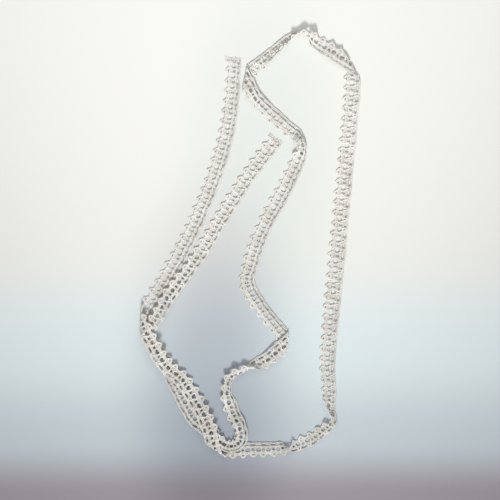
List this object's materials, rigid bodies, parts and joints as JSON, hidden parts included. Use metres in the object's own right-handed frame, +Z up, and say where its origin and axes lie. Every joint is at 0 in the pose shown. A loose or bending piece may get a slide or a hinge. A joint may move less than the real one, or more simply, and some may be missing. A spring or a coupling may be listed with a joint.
{
  "type": "lace edging trim",
  "caption": "Narrow cotton bobbin-lace edging with a straight foot and a toothed heading, one long strip laid in flat-folded loops.",
  "frame": {"origin": "centre of the laid strip's bounding box, on the surface it lies on", "axes": "+Z up from the surface, +Y towards the far end of the loops, +X to the right seen from above"},
  "size_m": [0.1326, 0.259, 0.0055],
  "materials": {
    "cotton_lace": "matt off-white cotton"
  },
  "bodies": {
    "root": {"lace_strip": "cotton_lace"}
  },
  "joints": []
}
